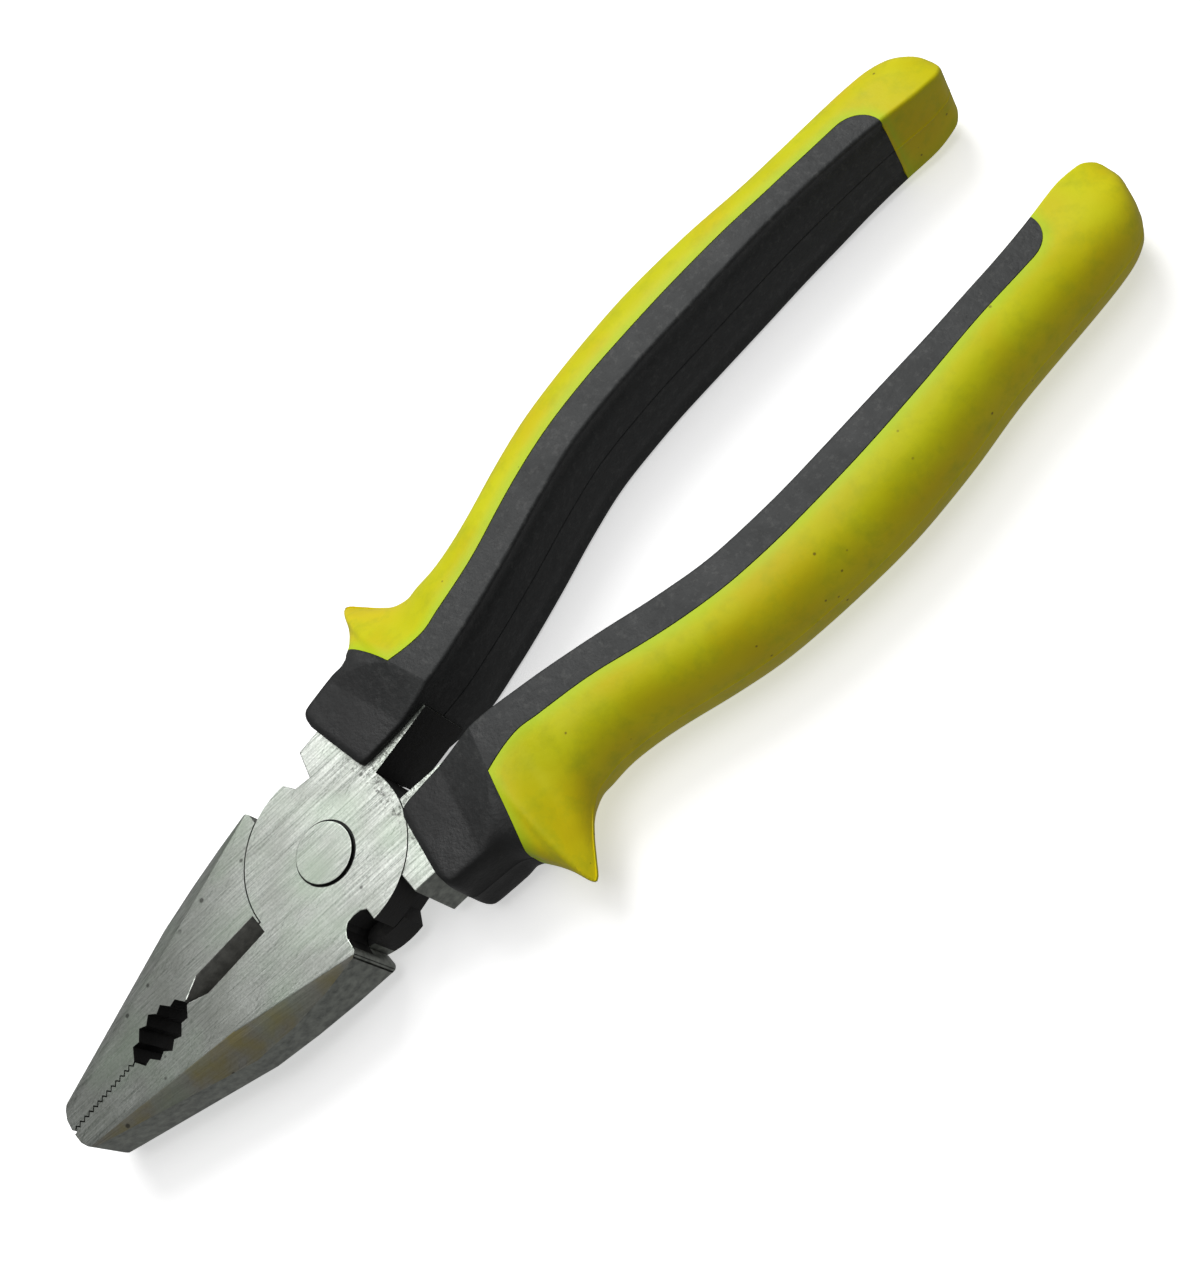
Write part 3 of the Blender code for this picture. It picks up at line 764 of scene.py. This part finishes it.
def sleeve(name):
    front = [y * MM for y in SLEEVE_FRONT] + stations(-13.8 * MM, GUARD_Y, 0.25 * MM)
    rings = [sleeve_ring(y, False) for y in front] + [sleeve_ring(GUARD_Y, True)]
    rings += [sleeve_ring(y, True) for y in covered_stations()]
    rings += [sleeve_ring(BAND_END + SEAM, True)]
    half = HEAD_HALF_THICK + SEAM
    steps = [
        (plate(name + "_root_socket", socket_outline(), -half, half), "DIFFERENCE"),
        (tang(name + "_tang_socket", SEAM), "DIFFERENCE"),
    ]
    obj = cut(loft(name, rings), steps)
    shade(obj, 32.0)
    return obj


def shell(name):
    rings = [shell_ring(y, False) for y in covered_stations() + [BAND_END]]
    tail = stations(BAND_END, -139.5 * MM, 0.8 * MM) + [y * MM for y in SHELL_TAIL]
    rings += [shell_ring(y, True) for y in tail]
    obj = loft(name, rings)
    shade(obj, 32.0)
    mark_rim(obj)
    return obj


def mark_rim(obj):
    """Stores how near each point of the shell is to the dark band, 1 at the seam."""
    rim = obj.data.attributes.new("rim", "FLOAT", "POINT")
    step = 0.6 * MM
    window = 8
    seam = [(y, band_edge(y)) for y in stations(GUARD_Y, BAND_END, step)]
    for vertex, value in zip(obj.data.vertices, rim.data):
        x, y, z = vertex.co
        y -= smooth_value(SHEAR_KEYS, y / MM) * (x - SHEAR_CENTRE)
        drop = grip_height(y) - abs(z)
        level = min(1.0, abs(z) / grip_height(y)) ** smooth_value(ROUND_KEYS, y / MM)
        front = swung(GUARD_Y, math.acos(math.sqrt(level)) * 2.0 / math.pi)
        first = max(0, min(len(seam) - window, round((GUARD_Y - y) / step) - window // 2 + 1))
        near = min(math.hypot(x - edge, y - place, drop)
                   for place, edge in seam[first:first + window])
        wall = math.hypot(x - grip_inner(y), y - BAND_END) if y < BAND_END else RIM_REACH
        value.value = max(0.0, 1.0 - min(near, abs(y - front), wall) / RIM_REACH)


# ---------------------------------------------------------------- materials

class Nodes:
    """Short ways to add nodes to one material."""

    def __init__(self, name, roughness, metallic, specular=0.5):
        self.material = bpy.data.materials.new(name)
        self.material.use_nodes = True
        self.tree = self.material.node_tree
        self.shader = self.tree.nodes["Principled BSDF"]
        self.shader.inputs["Roughness"].default_value = roughness
        self.shader.inputs["Metallic"].default_value = metallic
        self.shader.inputs["Specular IOR Level"].default_value = specular
        self.place = self.tree.nodes.new("ShaderNodeTexCoord").outputs["Object"]

    def put(self, socket, value):
        if hasattr(value, "is_linked"):
            self.tree.links.new(value, socket)
        else:
            socket.default_value = value

    def noise(self, size, detail=2.0, rough=0.55, vector=None):
        """Noise whose features are about size wide, in metres unless a vector is given."""
        node = self.tree.nodes.new("ShaderNodeTexNoise")
        node.inputs["Scale"].default_value = 1.0 / size
        node.inputs["Detail"].default_value = detail
        node.inputs["Roughness"].default_value = rough
        self.put(node.inputs["Vector"], self.place if vector is None else vector)
        return node.outputs["Fac"]

    def streaks(self, lengths, detail, rough, angle=0.0):
        """Noise drawn out to lengths in millimetres along axes turned by an angle about Z."""
        node = self.tree.nodes.new("ShaderNodeMapping")
        node.vector_type = "TEXTURE"
        node.inputs["Rotation"].default_value = (0.0, 0.0, math.radians(angle))
        node.inputs["Scale"].default_value = [length * MM for length in lengths]
        self.put(node.inputs["Vector"], self.place)
        return self.noise(1.0, detail, rough, node.outputs["Vector"])

    def cells(self, size):
        """Distance from the middle of scattered cells, as a share of their size."""
        node = self.tree.nodes.new("ShaderNodeTexVoronoi")
        node.inputs["Scale"].default_value = 1.0 / size
        self.put(node.inputs["Vector"], self.place)
        return node.outputs["Distance"]

    def levels(self, value, low, high, start=0.0, end=1.0):
        """Maps low to start and high to end, and stops there."""
        node = self.tree.nodes.new("ShaderNodeMapRange")
        for key, item in (("Value", value), ("From Min", low), ("From Max", high),
                          ("To Min", start), ("To Max", end)):
            self.put(node.inputs[key], item)
        return node.outputs["Result"]

    def maths(self, operation, first, second=0.0):
        node = self.tree.nodes.new("ShaderNodeMath")
        node.operation = operation
        self.put(node.inputs[0], first)
        self.put(node.inputs[1], second)
        return node.outputs["Value"]

    def mix(self, share, first, second):
        """Mixes two colours; the Mix node has its colour sockets at places 6, 7 and 2."""
        node = self.tree.nodes.new("ShaderNodeMix")
        node.data_type = "RGBA"
        self.put(node.inputs["Factor"], share)
        self.put(node.inputs[6], first)
        self.put(node.inputs[7], second)
        return node.outputs[2]

    def axis(self, name):
        node = self.tree.nodes.new("ShaderNodeSeparateXYZ")
        self.put(node.inputs[0], self.place)
        return node.outputs[name]

    def attribute(self, name):
        node = self.tree.nodes.new("ShaderNodeAttribute")
        node.attribute_name = name
        return node.outputs["Fac"]

    def bump(self, height, distance, after=None):
        node = self.tree.nodes.new("ShaderNodeBump")
        node.inputs["Strength"].default_value = 1.0
        node.inputs["Distance"].default_value = distance
        self.put(node.inputs["Height"], height)
        if after is not None:
            self.put(node.inputs["Normal"], after)
        return node.outputs["Normal"]

    def finish(self, colour, roughness, normal):
        self.put(self.shader.inputs["Base Color"], colour)
        self.put(self.shader.inputs["Roughness"], roughness)
        self.put(self.shader.inputs["Normal"], normal)
        return self.material


def rgb(red, green, blue):
    return (red, green, blue, 1.0)


# Colours, in linear values.
STEEL_PALE = rgb(0.75, 0.78, 0.73)
STEEL_DULL = rgb(0.20, 0.22, 0.195)
STEEL_STAIN = rgb(0.33, 0.35, 0.31)
STEEL_TINT = rgb(0.42, 0.56, 0.40)
STEEL_GRIME = rgb(0.06, 0.06, 0.055)
BEVEL_PALE = rgb(0.5, 0.5, 0.44)
BEVEL_DULL = rgb(0.27, 0.26, 0.23)
BEVEL_STAIN = rgb(0.42, 0.36, 0.13)
SIDE_DARK, SIDE_PALE = rgb(0.17, 0.18, 0.165), rgb(0.40, 0.42, 0.38)
# Near-black steel that paints shade into the notches, the crotch, the grip hole and round the rivet.
SHADE_PAINT_DARK, SHADE_PAINT_PALE = rgb(0.006, 0.006, 0.006), rgb(0.03, 0.029, 0.027)
GROOVE_DARK, GROOVE_PALE = rgb(0.16, 0.16, 0.15), rgb(0.3, 0.3, 0.28)
CHARCOAL_DARK, CHARCOAL_PALE = rgb(0.025, 0.027, 0.027), rgb(0.044, 0.046, 0.046)
CHARCOAL_MOTTLE = rgb(0.018, 0.019, 0.019)
CHARCOAL_DUST = rgb(0.12, 0.12, 0.115)
# Painted shade for the dark sleeves near the joint.
CHARCOAL_SHADE = rgb(0.006, 0.006, 0.006)
# A greener lit tone for the tops and an ochre shaded tone for the sides: painted light and shade.
YELLOW_LIT_TOP = (rgb(0.62, 0.61, 0.004), rgb(0.67, 0.68, 0.008))
YELLOW_SHADED_SIDE = (rgb(0.74, 0.61, 0.004), rgb(0.80, 0.70, 0.008))
YELLOW_WARM = rgb(0.70, 0.53, 0.004)
YELLOW_SCUFF = rgb(0.46, 0.50, 0.01)
YELLOW_RIM = rgb(0.46, 0.70, 0.02)
YELLOW_SPECK = rgb(0.16, 0.09, 0.01)
FLOOR_COLOUR = rgb(0.93, 0.93, 0.93)
WHITE = rgb(1.0, 1.0, 1.0)

# Where a change of colour starts and where it is full, along the part's Y.
GRIME_BAND = (35.8 * MM, 32.7 * MM)      # on the steel, by the grips
JOINT_SHADE_BAND = (12.0 * MM, 26.0 * MM)       # painted shade on the dark sleeves, towards the joint
SHADED_SIDE_BAND = (7.5 * MM, 3.5 * MM)         # painted shade tone on the yellow shells, from half way up


def brushed_steel(name, angle, bright, dull, roughness, stain, stained):
    """Ground steel: long scratches along one direction, tinted patches, pits and grime."""
    n = Nodes(name, roughness, 1.0)
    fine = n.streaks((0.13, 9.0, 0.4), 3.0, 0.7, angle)
    streak = n.streaks((0.42, 14.0, 1.0), 3.0, 0.7, angle + 2.0)
    cross = n.streaks((0.25, 4.0, 1.0), 2.0, 0.6, angle + 32.0)
    cloud = n.noise(6.0 * MM, 3.0)
    patch = n.noise(13.0 * MM)
    speckle = n.noise(0.35 * MM)

    grain = n.maths("MULTIPLY", n.levels(fine, 0.34, 0.66), 0.4)
    grain = n.maths("ADD", grain, n.maths("MULTIPLY", n.levels(streak, 0.36, 0.64), 0.6))
    grain = n.maths("ADD", grain, n.levels(speckle, 0.3, 0.7, -0.16, 0.16))
    grain = n.maths("ADD", grain, n.levels(cross, 0.6, 0.75, 0.0, -0.35))
    colour = n.mix(grain, dull, bright)
    colour = n.mix(n.levels(cloud, 0.42, 0.66, 0.0, stained), colour, stain)
    colour = n.mix(n.levels(patch, 0.46, 0.66, 0.0, 0.3), colour, STEEL_TINT)

    pits = n.levels(n.cells(3.5 * MM), 0.08, 0.13, 1.0, 0.0)
    pits = n.maths("MULTIPLY", pits, n.levels(n.noise(9.0 * MM, 1.0), 0.48, 0.52))
    near_grip = n.levels(n.axis("Y"), *GRIME_BAND)
    threshold = n.levels(near_grip, 0.0, 1.0, 0.78, 0.47)
    grime = n.levels(n.noise(0.6 * MM, 4.0, 0.7), threshold, 0.8)
    grime = n.maths("MULTIPLY", grime, n.maths("MULTIPLY", near_grip, 1.6))
    dirt = n.maths("MAXIMUM", n.maths("MULTIPLY", pits, 0.75), n.maths("MINIMUM", grime, 0.9))
    colour = n.mix(dirt, colour, STEEL_GRIME)

    rough = n.levels(streak, 0.25, 0.75, roughness + 0.1, roughness - 0.07)
    normal = n.bump(fine, 0.014 * MM)
    normal = n.bump(streak, 0.03 * MM, normal)
    return n.finish(colour, rough, normal)


def dark_steel(name, dark, pale, roughness, metallic):
    """Unground dark steel of the sides and the slot, and the near-black steel that paints shade into
    the notches, the crotch, the grip hole and round the rivet.
    """
    n = Nodes(name, roughness, metallic)
    cloud = n.noise(1.4 * MM, 5.0, 0.65)
    streak = n.streaks((0.9, 0.9, 0.12), 2.0, 0.6)
    colour = n.mix(n.levels(cloud, 0.35, 0.68), dark, pale)
    rough = n.levels(cloud, 0.3, 0.7, roughness - 0.1, roughness + 0.12)
    normal = n.bump(cloud, 0.06 * MM)
    normal = n.bump(streak, 0.03 * MM, normal)
    return n.finish(colour, rough, normal)


def charcoal_rubber():
    """Matt moulded rubber with a fine grain and a little dust, and painted shade darkening it near
    the joint.
    """
    n = Nodes("charcoal_rubber", 0.6, 0.0, 0.35)
    grain = n.noise(0.45 * MM, 3.0)
    cloud = n.noise(9.0 * MM, 3.0)
    mottle = n.noise(1.6 * MM, 3.0)
    dust = n.levels(n.noise(1.1 * MM, 4.0, 0.75), 0.52, 0.76)
    colour = n.mix(n.levels(cloud, 0.35, 0.7), CHARCOAL_DARK, CHARCOAL_PALE)
    colour = n.mix(n.levels(mottle, 0.35, 0.7, 0.0, 0.5), colour, CHARCOAL_MOTTLE)
    colour = n.mix(n.maths("MULTIPLY", dust, 0.45), colour, CHARCOAL_DUST)
    # Painted shade: darker towards the joint.
    colour = n.mix(n.levels(n.axis("Y"), *JOINT_SHADE_BAND, 0.0, 0.75), colour, CHARCOAL_SHADE)
    rough = n.levels(cloud, 0.3, 0.7, 0.5, 0.68)
    normal = n.bump(grain, 0.06 * MM)
    normal = n.bump(mottle, 0.12 * MM, normal)
    normal = n.bump(cloud, 0.2 * MM, normal)
    return n.finish(colour, rough, normal)


def yellow_rubber():
    """Softly shining yellow rubber: greener at the seam, a painted lit tone near the faces and a
    painted ochre shade tone down the side, brown specks.
    """
    n = Nodes("yellow_rubber", 0.45, 0.0, 0.2)
    cloud = n.noise(11.0 * MM, 3.0)
    warm = n.noise(16.0 * MM)
    scuff = n.noise(3.5 * MM, 4.0, 0.65)
    grain = n.noise(0.5 * MM)
    height = n.maths("ABSOLUTE", n.maths("SUBTRACT", n.axis("Z"), GRIP_HALF_HEIGHT))
    clouded = n.levels(cloud, 0.35, 0.68)
    # Painted light and shade: greener lit tone near the faces, ochre shaded tone down the sides.
    top = n.mix(clouded, *YELLOW_LIT_TOP)
    side = n.mix(clouded, *YELLOW_SHADED_SIDE)
    colour = n.mix(n.levels(height, *SHADED_SIDE_BAND), top, side)
    colour = n.mix(n.levels(warm, 0.45, 0.66, 0.0, 0.55), colour, YELLOW_WARM)
    colour = n.mix(n.levels(scuff, 0.48, 0.72, 0.0, 0.5), colour, YELLOW_SCUFF)
    colour = n.mix(n.maths("MULTIPLY", n.attribute("rim"), 0.75), colour, YELLOW_RIM)
    specks = n.levels(n.cells(3.0 * MM), 0.045, 0.09, 1.0, 0.0)
    specks = n.maths("MULTIPLY", specks, n.levels(n.noise(9.0 * MM, 1.0), 0.48, 0.54))
    colour = n.mix(n.maths("MULTIPLY", specks, 0.8), colour, YELLOW_SPECK)
    rough = n.levels(cloud, 0.3, 0.7, 0.40, 0.52)
    normal = n.bump(grain, 0.02 * MM)
    normal = n.bump(cloud, 0.25 * MM, normal)
    return n.finish(colour, rough, normal)


# ---------------------------------------------------------------- assembly

def settle(obj, turned, slots, sort, body, node):
    """Puts a piece built round the rivet axis in its place and hands it to its body."""
    obj.data.materials.clear()
    for material in slots:
        obj.data.materials.append(material)
    for polygon in obj.data.polygons:
        polygon.material_index = sort(polygon)
    if turned:
        obj.data.transform(Matrix.Rotation(math.pi, 4, "Y"))
    obj.data.transform(Matrix.Translation(PIVOT))
    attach(obj, body)
    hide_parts(node)


face_steel = brushed_steel("ground_face_steel", -7.0, STEEL_PALE, STEEL_DULL, 0.36,
                           STEEL_STAIN, 0.45)
bevel_steel = brushed_steel("ground_bevel_steel", -14.0, BEVEL_PALE, BEVEL_DULL, 0.42,
                            BEVEL_STAIN, 0.7)
side_steel = dark_steel("forged_side_steel", SIDE_DARK, SIDE_PALE, 0.5, 0.9)
# Near-black steel painting the shade in the hollows, the crotch, the lap and round the rivet.
shade_painted_steel = dark_steel("painted_shade_steel", SHADE_PAINT_DARK, SHADE_PAINT_PALE, 0.6, 0.5)
groove_steel = dark_steel("groove_steel", GROOVE_DARK, GROOVE_PALE, 0.5, 0.5)
STEEL_SLOTS = [face_steel, bevel_steel, side_steel, shade_painted_steel, groove_steel]
charcoal = charcoal_rubber()
yellow = yellow_rubber()

for prefix, turned, bite in (("front", False, 1.0), ("rear", True, -1.0)):
    body = prefix + "_jaw_and_handle"
    half = steel_half(prefix + "_forged_half", bite)
    shade(half, 20.0)
    settle(half, turned, STEEL_SLOTS, steel_finish, body, prefix + "_half")
    piece = sleeve(prefix + "_dark_sleeve")
    settle(piece, turned, [charcoal], one_finish, body, prefix + "_grip_sleeve")
    piece = shell(prefix + "_yellow_shell")
    settle(piece, turned, [yellow], one_finish, body, prefix + "_grip_shell")

pin = rivet("ground_rivet")
shade(pin, 40.0)
settle(pin, False, [face_steel, shade_painted_steel], rivet_finish, "rear_jaw_and_handle",
       "pivot_rivet")

# ---------------------------------------------------------------- floor, light and camera

FLOOR_HALF_WIDTH = 3.0
FLOOR_DROP = 0.2 * MM            # how far the floor lies below the part
FLOOR_GLOW = 0.5
LIGHTS = {                       # place, width and power of each soft light
    "soft_key": ((0.52, -0.15, 0.72), 0.60, 5.4),
    "soft_top": ((0.0, 0.0, 1.0), 0.70, 2.9),
}
LIT_PLACE = (0.0, 0.0, GRIP_HALF_HEIGHT)
SKY_BAND = (-0.15, 0.45)         # heights between which the surround changes
SKY_BELOW, SKY_ABOVE = 0.29, 0.16
CAMERA_PLACE = Vector((-144.785, -57.981, 221.965)) * MM    # from the rivet's middle
CAMERA_TURN = (21.7856, 24.0617, -131.7027)
CAMERA_LENS = 51.31


def pale_floor():
    """A plain floor that takes shadows and light but shows in no reflection."""
    half = FLOOR_HALF_WIDTH
    corners = [(-half, -half, 0), (half, -half, 0), (half, half, 0), (-half, half, 0)]
    mesh = bpy.data.meshes.new("pale_floor")
    mesh.from_pydata(corners, [], [(0, 1, 2, 3)])
    n = Nodes("pale_floor", 0.9, 0.0, 0.1)
    n.shader.inputs["Emission Color"].default_value = WHITE
    n.shader.inputs["Emission Strength"].default_value = FLOOR_GLOW
    mesh.materials.append(n.finish(FLOOR_COLOUR, 0.9, n.bump(n.noise(10.0 * MM), 0.01 * MM)))
    floor = add_object("pale_floor", mesh)
    floor.location.z = -FLOOR_DROP
    floor.visible_diffuse = False
    floor.visible_glossy = False
    floor.visible_shadow = False
    return floor


def soft_light(name, place, width, power):
    light = bpy.data.lights.new(name, "AREA")
    light.shape = "DISK"
    light.size = width
    light.energy = power
    obj = add_object(name, light)
    obj.location = place
    obj.rotation_euler = (Vector(LIT_PLACE) - Vector(place)).to_track_quat("-Z", "Y").to_euler()


def studio_world():
    """A plain surround, brighter below the table top and dimmer overhead."""
    world = bpy.data.worlds.new("studio")
    world.use_nodes = True
    tree = world.node_tree
    place = tree.nodes.new("ShaderNodeTexCoord")
    split = tree.nodes.new("ShaderNodeSeparateXYZ")
    ramp = tree.nodes.new("ShaderNodeMapRange")
    ramp.inputs["From Min"].default_value = SKY_BAND[0]
    ramp.inputs["From Max"].default_value = SKY_BAND[1]
    ramp.inputs["To Min"].default_value = SKY_BELOW
    ramp.inputs["To Max"].default_value = SKY_ABOVE
    tree.nodes["Background"].inputs["Color"].default_value = WHITE
    tree.links.new(place.outputs["Generated"], split.inputs[0])
    tree.links.new(split.outputs["Z"], ramp.inputs["Value"])
    tree.links.new(ramp.outputs["Result"], tree.nodes["Background"].inputs["Strength"])
    return world


floor = pale_floor()
for light_name, (place, width, power) in LIGHTS.items():
    soft_light(light_name, place, width, power)
bpy.context.scene.world = studio_world()
bpy.context.scene.view_settings.view_transform = "Standard"

camera_data = bpy.data.cameras.new("camera")
camera_data.lens = CAMERA_LENS
camera_data.clip_start = 10.0 * MM
camera = add_object("camera", camera_data)
camera.location = PIVOT + CAMERA_PLACE
camera.rotation_euler = [math.radians(angle) for angle in CAMERA_TURN]
bpy.context.scene.camera = camera
